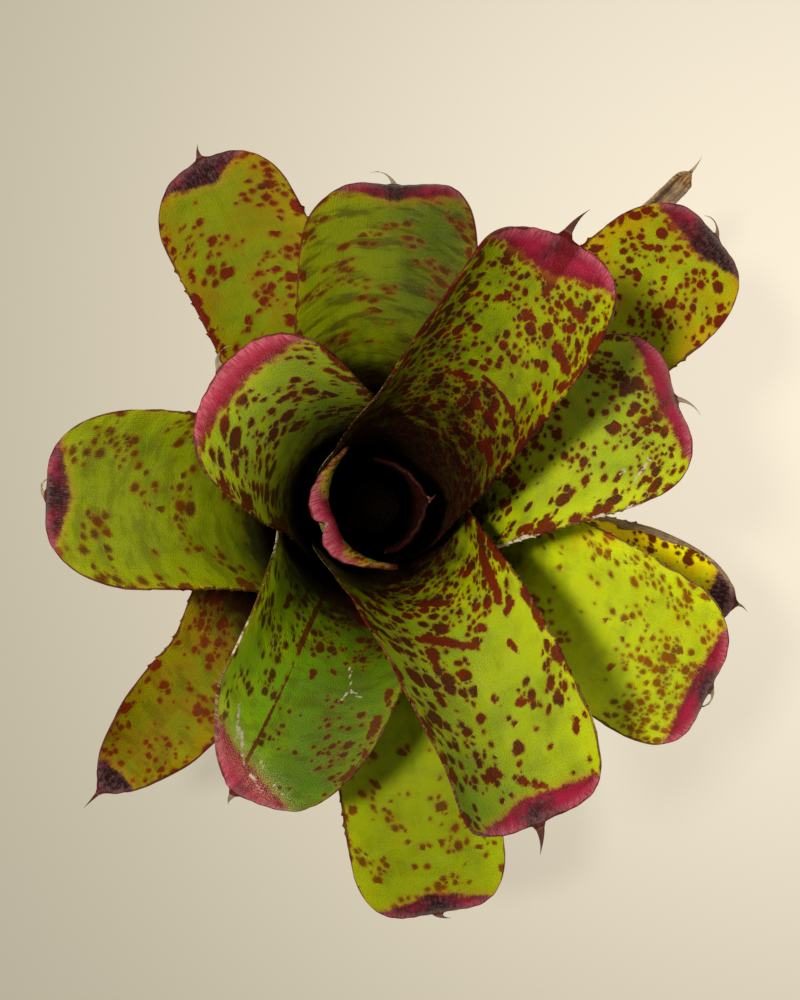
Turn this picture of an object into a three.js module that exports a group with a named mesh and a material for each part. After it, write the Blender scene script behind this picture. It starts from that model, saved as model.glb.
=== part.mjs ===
// A neoregelia bromeliad as picked, standing on the cut foot of its short stem.
// Its leaves are nested: each sheath wraps the ones inside it, and each blade arches out over the
// blades outside it. Millimetres, +Z up, origin at the centre of the stem's flat foot.
import * as THREE from 'three';

const DEG = Math.PI / 180;

// ---------------------------------------------------------------- driving dimensions

// The rosette, from the innermost leaf outwards.
const GROWTH_TOP = 38; // height where the youngest leaf leaves the stem
const GROWTH_STEP = 1.95; // how much lower each older leaf leaves it
const BELLY_TOP = 60; // height where the youngest sheath stands upright
const BELLY_STEP = 1.5; // how much lower each older sheath does
const TUBE_RADIUS = 9.2; // radius of the youngest sheath
const SHEATH_PITCH = 1.65; // radial room that each sheath takes up
const SHEATH_RISE = 30 * DEG; // how steeply a sheath leaves the stem
const SHEATH_FLARE = 0.7; // for how much of its way out it keeps that direction
const SHEATH_UPRIGHT = 0.5; // for how much of its way up it is nearly upright
const ROOT_GAP = 0.8; // between a sheath's root and the stem
const SHEATH_HALF_WIDTH = 25;
const SHEATH_HALF_ANGLE = 110 * DEG; // the most of the circle that half a sheath wraps

// How far up the blade, as a share of it, each change from sheath to blade is done.
const NARROW_FROM = -0.08;
const NARROW_BY = 0.42;
const FLATTEN_BY = 0.83;
const ROLL_BY = 0.67;

// One leaf.
const MID_THICKNESS = 0.95;
const EDGE_THICKNESS = 0.65;
const TOOTH_PITCH = 4.4;
const TOOTH_SHARE = 0.34; // how much of the pitch a tooth takes up
const TOOTH_HEIGHT = 0.8;
const TOOTH_LEAN = 0.95; // where its point stands on its base, towards the leaf's end

// The stem: heights and radii of its outline, from the foot to the growing point, with the scars of
// three shed leaves round it below the oldest sheath.
const STEM_OUTLINE = [
  [0, 13.2],
  [0.8, 14],
  [2.4, 14.3],
  [3, 13.4],
  [4.6, 13.8],
  [5.2, 12.8],
  [6.6, 13],
  [7.2, 12.1],
  [10, 11.4],
  [20, 10],
  [30, 8],
  [38, 5.6],
  [43, 2.6],
];
const STEM_TIP = 44.5;
const STEM_SIDES = 24;

// What a leaf has unless LEAVES says otherwise.
//   rise, run: how far its line keeps going upright from the sheath, and straight into its end
//   slope: the direction of its end above the level, in degrees
//   width: of the blade, measured round its trough
//   trough: the radius that the blade is curved to across
//   roll: its tilt about its own line, the side anticlockwise of it rising, in degrees
//   sweep: how far its end turns anticlockwise, in degrees
//   end, square: the length over which its end narrows, and how squarely
//   skew: how much shorter its end is on the anticlockwise side, and longer on the other
//   hook, curl: how far its end curls under, in degrees, over how many mm
//   notch: how much sooner the middle curls under than the sides
//   spine, crook: length of the dry spine at its very end, and how far that bends sideways in degrees
//   colour, roughness: of its material
const USUAL = {
  rise: 28, run: 26, slope: -8, width: 34, trough: 30, roll: 0, sweep: 0,
  end: 13, square: 2.4, skew: 0, hook: 50, curl: 8, notch: 3, spine: 5, crook: 0,
  colour: 0x95a31a, roughness: 0.45,
};

// The leaves, youngest first. turn: direction from the axis, in degrees anticlockwise from +X.
// reach, top: the radius and height of its end.
const LEAVES = [
  { turn: 8, reach: 9.7, top: 86, rise: 12, run: 8, slope: 84, width: 32, trough: 9.1,
    end: 6, square: 2.6, hook: 40, curl: 4, notch: 0, spine: 1.6, colour: 0x5d3a22 },
  { turn: 222, reach: 9.4, top: 94, rise: 14, run: 10, slope: 90, width: 38, trough: 11.2,
    end: 5, square: 3, hook: 65, curl: 3, notch: 1, spine: 1.6, colour: 0x8a5a3a },
  { turn: 52, reach: 57.5, top: 108, rise: 44, run: 26, slope: 0, trough: 15, roll: 14, sweep: 2,
    end: 15, skew: 3, hook: 25, notch: 2, spine: 6, crook: 20 },
  { turn: 305, reach: 64, top: 98, rise: 40, run: 28, slope: -10, trough: 16, roll: -16, sweep: -8,
    end: 15, skew: -2, hook: 30, notch: 2, spine: 7 },
  { turn: 137, reach: 35.5, top: 101, rise: 34, run: 14, slope: 10, width: 36, trough: 20,
    hook: 60, crook: 30 },
  { turn: 19.5, reach: 62, top: 86, rise: 32, run: 24, width: 33, hook: 60, crook: -30 },
  { turn: 248, reach: 60.5, top: 84, rise: 32, run: 22, width: 36, trough: 22, roll: -24,
    end: 17, square: 2, hook: 40, spine: 4, colour: 0x5f8c24, roughness: 0.6 },
  { turn: 86, reach: 64, top: 78, rise: 30, run: 24, slope: -5, width: 33, trough: 26,
    end: 16, hook: 70, notch: 2, crook: -60 },
  { turn: 334, reach: 76, top: 70, rise: 27, slope: -10, sweep: -3,
    end: 15, skew: 1.5, hook: 60, crook: 60 },
  { turn: 178, reach: 64, top: 73, rise: 26, run: 24, slope: -5, width: 35, end: 14, hook: 60, crook: -50 },
  { turn: 39, reach: 87, top: 62, rise: 24, width: 30, trough: 34, notch: 4, crook: 50 },
  { turn: 279, reach: 85, top: 56, rise: 22, slope: -12, width: 31, trough: 36,
    end: 15, hook: 40, notch: 1, spine: 4 },
  { turn: 116.5, reach: 79, top: 58, rise: 22, slope: -6, width: 28, trough: 34,
    hook: 40, notch: 0, crook: -20 },
  { turn: 346, reach: 79, top: 46, rise: 20, slope: -12, width: 24, trough: 16,
    end: 26, square: 1.3, hook: 20, notch: 0, spine: 5 },
  { turn: 226, reach: 84, top: 42, rise: 19, slope: -14, width: 22, trough: 9,
    end: 24, square: 1.4, hook: 10, notch: 0, spine: 6, colour: 0x8c7f1c },
  { turn: 47, reach: 97, top: 36, rise: 18, slope: -10, width: 10, trough: 5,
    end: 26, square: 1.2, hook: 0, notch: 0, spine: 6, colour: 0xa5835a, roughness: 0.9 },
].map((leaf) => ({ ...USUAL, ...leaf }));

// ---------------------------------------------------------------- helpers

const lerp = THREE.MathUtils.lerp;
const clamp01 = (x) => Math.min(1, Math.max(0, x));
const ease = (x) => {
  const c = clamp01(x);
  return c * c * (3 - 2 * c);
};

function stemRadius(z) {
  const upper = STEM_OUTLINE.findIndex(([height]) => height >= z);
  const [z0, r0] = STEM_OUTLINE[upper - 1];
  const [z1, r1] = STEM_OUTLINE[upper];
  return lerp(r0, r1, (z - z0) / (z1 - z0));
}

// ---------------------------------------------------------------- a leaf's middle surface

// The line down a leaf's middle, in the upright plane through the axis: x is radius, y is height.
function midline(leaf, order) {
  const rootHeight = GROWTH_TOP - GROWTH_STEP * order;
  const root = new THREE.Vector2(stemRadius(rootHeight) + ROOT_GAP, rootHeight);
  const belly = new THREE.Vector2(TUBE_RADIUS + SHEATH_PITCH * order, BELLY_TOP - BELLY_STEP * order);
  const flare = SHEATH_FLARE * (belly.x - root.x);
  const upright = SHEATH_UPRIGHT * (belly.y - root.y);
  const end = new THREE.Vector2(leaf.reach, leaf.top);
  const heading = new THREE.Vector2(Math.cos(leaf.slope * DEG), Math.sin(leaf.slope * DEG));
  const sheath = new THREE.CubicBezierCurve(
    root,
    new THREE.Vector2(root.x + flare, root.y + flare * Math.tan(SHEATH_RISE)),
    new THREE.Vector2(belly.x, belly.y - upright),
    belly,
  );
  const blade = new THREE.CubicBezierCurve(
    belly,
    new THREE.Vector2(belly.x, belly.y + leaf.rise),
    end.clone().addScaledVector(heading, -leaf.run),
    end,
  );
  const line = new THREE.CurvePath();
  line.add(sheath);
  line.add(blade);
  return { line, length: line.getLength(), sheathLength: sheath.getLength(), bellyRadius: belly.x };
}

// Returns point(s, v), the middle surface at a distance of s mm along the leaf and v, from -1 to 1,
// across it.
function leafSurface(leaf, order) {
  const { line, length, sheathLength, bellyRadius } = midline(leaf, order);
  const bladeLength = length - sheathLength;

  const halfWidth = (s, radius) => {
    const wrap = Math.min(SHEATH_HALF_WIDTH, SHEATH_HALF_ANGLE * radius);
    const u = (s - sheathLength) / bladeLength;
    return lerp(wrap, leaf.width / 2, ease((u - NARROW_FROM) / (NARROW_BY - NARROW_FROM)));
  };

  // The leaf's own axes at s: along it, across it, and out of its upper side.
  const frameAt = (s) => {
    const place = line.getPointAt(clamp01(s / length));
    const along = line.getTangentAt(clamp01(s / length));
    const u = clamp01((s - sheathLength) / bladeLength);
    const turn = (leaf.turn + leaf.sweep * u * u) * DEG;
    const outward = new THREE.Vector3(Math.cos(turn), Math.sin(turn), 0);
    const across = new THREE.Vector3(-Math.sin(turn), Math.cos(turn), 0);
    const centre = outward.clone().multiplyScalar(place.x).setZ(place.y);
    const tangent = outward.clone().multiplyScalar(along.x).setZ(along.y);
    const upper = tangent.clone().cross(across);
    const roll = leaf.roll * DEG * ease(u / ROLL_BY);
    across.applyAxisAngle(tangent, roll);
    upper.applyAxisAngle(tangent, roll);
    return { centre, tangent, across, upper, turn, radius: place.x, height: place.y, u };
  };

  const point = (s, v) => {
    const foldStart = length - leaf.curl - leaf.notch * (1 - ease(Math.abs(v) * 2));
    const f = frameAt(Math.min(s, foldStart));
    const half = halfWidth(s, f.radius);
    if (s < sheathLength) {
      const angle = f.turn + (v * half) / f.radius;
      return new THREE.Vector3(f.radius * Math.cos(angle), f.radius * Math.sin(angle), f.height);
    }
    const trough = lerp(bellyRadius, leaf.trough, ease(f.u / FLATTEN_BY));
    const angle = (v * half) / trough;
    const p = f.centre.addScaledVector(f.across, trough * Math.sin(angle));
    p.addScaledVector(f.upper, trough * (1 - Math.cos(angle)));
    const over = Math.max(0, s - foldStart);
    const bend = Math.max(0.1, leaf.hook) * DEG / (leaf.curl + leaf.notch);
    p.addScaledVector(f.tangent, Math.sin(bend * over) / bend);
    p.addScaledVector(f.upper, -(1 - Math.cos(bend * over)) / bend);
    return p;
  };

  return { length, sheathLength, point };
}

// ---------------------------------------------------------------- a leaf's mesh

// Lines of points across the leaf. The narrow middle strip runs on into the end spine.
const ACROSS = [-1, -0.84, -0.6, -0.32, -0.05, 0.05, 0.32, 0.6, 0.84, 1];
const MIDDLE = 4;
const SHEATH_ROWS = 5;
const END_ROWS = [0.34, 0.6, 0.82, 1]; // shares of the narrowing end
const SPINE_RINGS = [0.3, 0.62]; // shares of the end spine
const NEARBY = 0.05; // mm along the leaf, and a fifth of it across, to take the slope from

// The end spine: the middle strip's end, narrowed ring by ring along a bending line.
function addEndSpine(leaf, grid, points, faces) {
  const [before, last] = grid.slice(-2).map((row) => [row[MIDDLE], row[MIDDLE + 1]]);
  const [left, right] = last;
  const rim = [left.upper, right.upper, right.lower, left.lower];
  const root = left.middle.clone().lerp(right.middle, 0.5);
  const heading = root.clone().sub(before[0].middle.clone().lerp(before[1].middle, 0.5)).normalize();

  const centre = root.clone();
  const advance = (from, to) => {
    const bend = leaf.crook * DEG * (from + to) / 2;
    const step = heading.clone().applyAxisAngle(left.normal, bend);
    centre.addScaledVector(step, leaf.spine * (to - from));
  };
  let ring = rim;
  let done = 0;
  for (const share of SPINE_RINGS) {
    advance(done, share);
    done = share;
    const offsets = rim.map((index) => points[index].clone().sub(root).multiplyScalar(1 - share));
    const next = offsets.map((offset) => points.push(offset.add(centre)) - 1);
    for (let k = 0; k < 4; k++) {
      const l = (k + 1) % 4;
      faces.push(ring[k], next[k], next[l], ring[k], next[l], ring[l]);
    }
    ring = next;
  }
  advance(done, 1);
  const tip = points.push(centre) - 1;
  for (let k = 0; k < 4; k++) faces.push(ring[k], tip, ring[(k + 1) % 4]);
}

function leafGeometry(leaf, order) {
  const surface = leafSurface(leaf, order);
  const { length, sheathLength } = surface;
  const bladeEnd = length - leaf.end;
  const bladeRows = Math.max(3, Math.round((bladeEnd - sheathLength) / TOOTH_PITCH));

  const rows = [];
  for (let i = 0; i < SHEATH_ROWS; i++) rows.push((sheathLength * i) / SHEATH_ROWS);
  for (let i = 0; i < bladeRows; i++) rows.push(lerp(sheathLength, bladeEnd, i / bladeRows));
  rows.push(bladeEnd);
  for (const share of END_ROWS) rows.push(bladeEnd + leaf.end * share);
  const last = rows.length - 1;
  const right = ACROSS.length - 1;

  // Rows bow back towards the margins, so that the last one follows the rounded end.
  const placeOf = (row, v) => {
    const rounding = leaf.end * (1 - (1 - Math.abs(v) ** leaf.square) ** (1 / leaf.square));
    const slant = leaf.skew * v * (1 - v ** 4);
    const share = clamp01((row - bladeEnd + leaf.end) / (2 * leaf.end));
    return row - (rounding + slant) * share * share;
  };

  const points = [];
  const faces = [];
  const addPoint = (p) => points.push(p) - 1;

  // The points of the upper and lower sides, half the thickness off the middle surface.
  const addPair = (row, v) => {
    const s = placeOf(row, v);
    const along = surface.point(s + NEARBY, v).sub(surface.point(s - NEARBY, v));
    const over = surface.point(s, v + NEARBY / 5).sub(surface.point(s, v - NEARBY / 5));
    const normal = along.cross(over).normalize();
    const half = lerp(MID_THICKNESS, EDGE_THICKNESS, v * v) / 2;
    const middle = surface.point(s, v);
    return {
      middle,
      normal,
      upper: addPoint(middle.clone().addScaledVector(normal, half)),
      lower: addPoint(middle.clone().addScaledVector(normal, -half)),
    };
  };
  const grid = rows.map((row) => ACROSS.map((v) => addPair(row, v)));

  // Where a tooth begins on each margin, between one row and the next.
  const toothStart = rows.map((row, i) => {
    if (i < SHEATH_ROWS || row > bladeEnd) return null;
    const start = lerp(row, rows[i + 1], 1 - TOOTH_SHARE);
    return { 0: addPair(start, -1), [right]: addPair(start, 1) };
  });

  // A fan of faces from the first point of a loop, on both sides of the leaf.
  const addSkins = (loop) => {
    for (let k = 1; k < loop.length - 1; k++) {
      faces.push(loop[0].upper, loop[k].upper, loop[k + 1].upper);
      faces.push(loop[0].lower, loop[k + 1].lower, loop[k].lower);
    }
  };
  for (let i = 0; i < last; i++) {
    for (let j = 0; j < right; j++) {
      const loop = [grid[i][j], grid[i + 1][j], grid[i + 1][j + 1], grid[i][j + 1]];
      const start = toothStart[i];
      if (start && j === 0) addSkins([start[0], loop[1], loop[2], loop[3], loop[0]]);
      else if (start && j === right - 1) addSkins([start[right], loop[3], loop[0], loop[1], loop[2]]);
      else addSkins(loop);
    }
  }

  // The leaf's edge from pair a to pair b, plain or drawn out to a tooth whose point is at share.
  const addEdge = (a, b) => faces.push(a.upper, b.upper, b.lower, a.upper, b.lower, a.lower);
  const addTooth = (a, b, share) => {
    const outward = a.normal.clone().cross(b.middle.clone().sub(a.middle)).normalize();
    const tip = addPoint(a.middle.clone().lerp(b.middle, share).addScaledVector(outward, TOOTH_HEIGHT));
    faces.push(a.upper, b.upper, tip, b.upper, b.lower, tip, b.lower, a.lower, tip, a.lower, a.upper, tip);
  };
  for (let i = 0; i < last; i++) {
    const start = toothStart[i];
    if (start) {
      addTooth(grid[i + 1][0], start[0], 1 - TOOTH_LEAN);
      addEdge(start[0], grid[i][0]);
      addEdge(grid[i][right], start[right]);
      addTooth(start[right], grid[i + 1][right], TOOTH_LEAN);
    } else {
      addEdge(grid[i + 1][0], grid[i][0]);
      addEdge(grid[i][right], grid[i + 1][right]);
    }
  }
  for (let j = 0; j < right; j++) {
    addEdge(grid[0][j], grid[0][j + 1]);
    if (j !== MIDDLE) addEdge(grid[last][j + 1], grid[last][j]);
  }

  addEndSpine(leaf, grid, points, faces);

  const geometry = new THREE.BufferGeometry().setFromPoints(points);
  geometry.setIndex(faces);
  geometry.computeVertexNormals();
  return geometry;
}

// ---------------------------------------------------------------- the stem

function stemGeometry() {
  const outline = STEM_OUTLINE.map(([height, radius]) => new THREE.Vector2(radius, height));
  const foot = new THREE.Vector2(0, 0);
  const tip = new THREE.Vector2(0, STEM_TIP);
  const body = new THREE.LatheGeometry([foot, ...outline, tip], STEM_SIDES);
  body.rotateX(Math.PI / 2);
  return body;
}

// ---------------------------------------------------------------- the plant

const plant = new THREE.Group();

const bark = new THREE.MeshStandardMaterial({ color: 0x6b4a30, roughness: 0.9, metalness: 0 });
const stem = new THREE.Mesh(stemGeometry(), bark);
stem.name = 'stem';
plant.add(stem);

LEAVES.forEach((leaf, order) => {
  const { colour, roughness } = leaf;
  const skin = new THREE.MeshStandardMaterial({ color: colour, roughness, metalness: 0 });
  const mesh = new THREE.Mesh(leafGeometry(leaf, order), skin);
  mesh.name = `leaf_${String(order + 1).padStart(2, '0')}`;
  plant.add(mesh);
});

export default plant;
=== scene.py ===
# A neoregelia bromeliad as picked, standing on the cut foot of its short stem: its spotted leaves,
# its bark, the pale floor under it, the light and the camera. Metres, +Z up, origin at the centre of
# the foot. Leaf sizes are given in millimetres and turned into metres where points are made.
import math
import random

import bmesh
import bpy
import numpy as np
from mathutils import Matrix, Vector, noise


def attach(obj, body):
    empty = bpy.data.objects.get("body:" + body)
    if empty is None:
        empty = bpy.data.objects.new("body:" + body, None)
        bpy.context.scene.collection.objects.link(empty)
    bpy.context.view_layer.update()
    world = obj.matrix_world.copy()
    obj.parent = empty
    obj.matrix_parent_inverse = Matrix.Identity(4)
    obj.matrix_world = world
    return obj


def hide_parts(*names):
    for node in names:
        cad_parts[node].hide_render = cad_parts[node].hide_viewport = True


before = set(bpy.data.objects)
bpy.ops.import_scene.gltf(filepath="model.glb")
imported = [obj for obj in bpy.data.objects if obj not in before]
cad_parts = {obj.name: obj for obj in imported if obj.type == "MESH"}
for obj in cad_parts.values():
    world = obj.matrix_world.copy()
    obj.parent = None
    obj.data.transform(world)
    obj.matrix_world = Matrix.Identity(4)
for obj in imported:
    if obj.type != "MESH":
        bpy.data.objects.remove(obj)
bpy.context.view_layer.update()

MM = 0.001

# ---- the rosette, in mm and degrees

GROWTH_TOP = 38  # height where the youngest leaf leaves the stem
GROWTH_STEP = 1.95  # how much lower each older leaf leaves it
BELLY_TOP = 60  # height where the youngest sheath stands upright
BELLY_STEP = 1.5  # how much lower each older sheath does
TUBE_RADIUS = 9.2  # radius of the youngest sheath
SHEATH_PITCH = 1.65  # radial room that each sheath takes up
SHEATH_RISE = math.radians(30)  # how steeply a sheath leaves the stem
SHEATH_FLARE = 0.7  # for how much of its way out it keeps that direction
SHEATH_UPRIGHT = 0.5  # for how much of its way up it is nearly upright
ROOT_GAP = -0.4  # between a sheath's root and the stem: it grows out of the bark
SHEATH_HALF_WIDTH = 25
SHEATH_HALF_ANGLE = math.radians(110)  # the most of the circle that half a sheath wraps

# How far up the blade, as a share of it, each change from sheath to blade is done.
NARROW_FROM, NARROW_BY = -0.08, 0.42
FLATTEN_BY = 0.83
ROLL_BY = 0.67

LEAST_HOOK = 0.1  # a straight end still curls under by this much, in radians

MID_THICKNESS = 0.95  # of a leaf along its middle

TOOTH_PITCH = 1.9  # on the youngest leaf
TOOTH_PITCH_STEP = 0.13  # how much further apart the teeth stand on each older one
TOOTH_START, TOOTH_POINT = 0.66, 0.95  # where in its pitch a tooth begins, and has its point
TOOTH_HEIGHT = 0.5
TOOTH_LEAN = 0.25  # how far its point is drawn forwards

# The stem's outline, heights and radii, with the scars of three shed leaves, and its growing point.
STEM_OUTLINE = [
    (0, 13.2), (0.8, 14), (2.4, 14.3), (3, 13.4), (4.6, 13.8), (5.2, 12.8), (6.6, 13), (7.2, 12.1),
    (10, 11.4), (20, 10), (30, 8), (38, 5.6), (43, 2.6),
]
STEM_TIP = (44.5, 0.4)


class Row:
    """A row of a table: its columns, then by name what isn't as usual."""

    def __init__(self, *values, **own):
        self.__dict__.update(zip(self.COLUMNS, values), **own)


class Form(Row):
    """A leaf's form. Its columns are its direction from the axis, anticlockwise from +X; the radius
    and height of its end; how far its line keeps going upright from the sheath, and straight into
    its end; the direction of its end above the level; the width of the blade, measured round its
    trough; the radius it is curved to across; the length over which its end narrows; and the length
    of the spine at its very end."""

    COLUMNS = ["turn", "reach", "top", "rise", "run", "slope", "width", "trough", "end", "spine"]
    roll = 0  # its tilt about its own line, the side anticlockwise of it rising
    sweep = 0  # how far its end turns anticlockwise
    square = 2.4  # how squarely its end narrows
    skew = 0  # how much shorter its end is on the anticlockwise side, and longer on the other
    hook = 50  # how far its end curls under
    curl = 8  # over how many mm
    notch = 2  # how much sooner the middle curls under than the sides
    crook = 0  # how far its spine bends sideways
    rear = 0  # and rears up
    stout = 0.5  # how thick its spine is
    pleats = 1  # how deep the folds are that run into its end
    cleft = 0  # depth of the notch in the end's edge
    keel = 0  # and of the crease in the middle of the end


# Youngest first.
LEAVES = [
    Form(8, 9.3, 87, 12, 8, 80, 25, 9.1, 13, 2.5, square=2, hook=30, curl=3, notch=0, crook=40,
         stout=0.3),
    Form(202, 7.6, 93, 14, 8, 86, 32, 13, 10, 1, square=2.6, hook=100, curl=5.4, notch=-0.8,
         crook=60, stout=0.6, pleats=0.7, cleft=2, keel=0.6),
    Form(52, 57.5, 107.5, 44, 26, 0, 34, 15, 17, 7.5, roll=14, sweep=2, square=2.3, skew=4,
         hook=25, notch=1.5, crook=-25, stout=0.6),
    Form(305, 64, 98, 40, 28, -10, 34, 16, 15, 7, roll=-16, sweep=-8, skew=-4, hook=30, notch=1.5,
         crook=-25, stout=0.7),
    Form(137, 35.5, 101, 34, 14, 10, 35, 20, 15, 6.5, square=2.8, skew=1.5, hook=60, notch=3.2,
         crook=-150, rear=60, stout=0.45, cleft=1),
    Form(19.5, 62, 86, 32, 24, -8, 33, 30, 15, 7, square=2.2, hook=60, crook=-70, rear=50),
    Form(248, 60, 84, 32, 22, -8, 38.5, 22, 22, 4, roll=-24, sweep=-3, square=1.6, skew=-8.5,
         hook=45, notch=1, crook=30, pleats=2),
    Form(86, 64, 78, 30, 24, -5, 36, 26, 21, 7, square=2.3, skew=2.8, hook=70, notch=0.6,
         crook=120, rear=70, stout=0.35),
    Form(334, 76.5, 70, 27, 26, -10, 34, 30, 18, 9, sweep=-3, square=2.2, skew=1.5, notch=1,
         crook=-230, rear=50, stout=0.35),
    Form(178, 64.6, 73, 26, 24, -5, 36.5, 30, 22, 7, square=2, hook=55, notch=0.8, crook=-230,
         rear=60, stout=0.35),
    Form(38.2, 89, 62, 24, 26, -8, 31, 34, 19, 7, square=2, notch=0.4, crook=160, rear=30,
         stout=0.45),
    Form(279, 85, 56, 22, 26, -12, 32, 36, 18, 4, hook=40, notch=0.8, crook=80, stout=0.8),
    Form(116.5, 79, 58, 22, 26, -6, 29, 34, 16, 5, square=2, hook=30, notch=0, crook=-20,
         stout=0.6),
    Form(345, 78.6, 46, 20, 26, -12, 22, 14, 22, 4.4, square=1.7, hook=20, notch=0, crook=-30),
    Form(226, 84, 42, 19, 26, -14, 22, 9, 24, 6, square=1.4, hook=10, notch=0),
    Form(46.6, 97, 42, 18, 26, -6, 8.4, 1.9, 9, 4.6, square=1.5, hook=0, notch=0, crook=15, stout=1),
]

# ---- markings, in mm


class Look(Row):
    """What a leaf's skin shows. Its columns are its green, from gold, 0, over yellow green to full
    green, 1; how light that is, its own tone together with painted light and shade; how many
    spots there are; the length of the coloured end; its age, from a magenta one, 0, to a black
    one, 1; and how much silver down lies on the leaf. The side anticlockwise of the leaf's line
    is the + side."""

    COLUMNS = ["green", "tone", "spots", "band", "age", "scurf"]
    size = 1  # of a spot
    shape = 1  # how much wider it is than long
    soft = 1  # how blurred the spots are
    strength = 1  # how dense
    heat = 1  # how light their red is, set per leaf with how it is lit: partly the spots' own shade, partly painted light
    patches = []  # where more spots stand: from the end, across, reach, how many more
    tilt = 0  # how much longer the coloured end is on the + side
    peak = 0  # and in the middle
    eye = 1  # how dark the middle of the end is
    fade = 0  # how much blacker the end is on the + side
    awn = 0  # from a straw-coloured end spine, 0, to a dark red one, 1
    frost = 0  # how much more down lies where the coloured end begins
    painted_side_shade = 0  # painted shade on the + side, or below 0 on the other: how much greener the leaf is made there, and greyer with a painted sheen of down
    painted_shade_darkness = 0.7  # how much darker the painted shade makes it there
    bars = 0.1  # how strong the brown bars across it are
    cup = 0.42  # share of the blade over which the dark of the cup fades: partly the leaf bases' own dark red, partly painted shade of the deep cup
    marks = []  # its own marks: (from the end, across) to (from the end, across), half width
    dry = []  # dried margins: side, from and to along the leaf's end, width, how pale
    scars = []  # pale scratches, given as marks are


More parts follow.
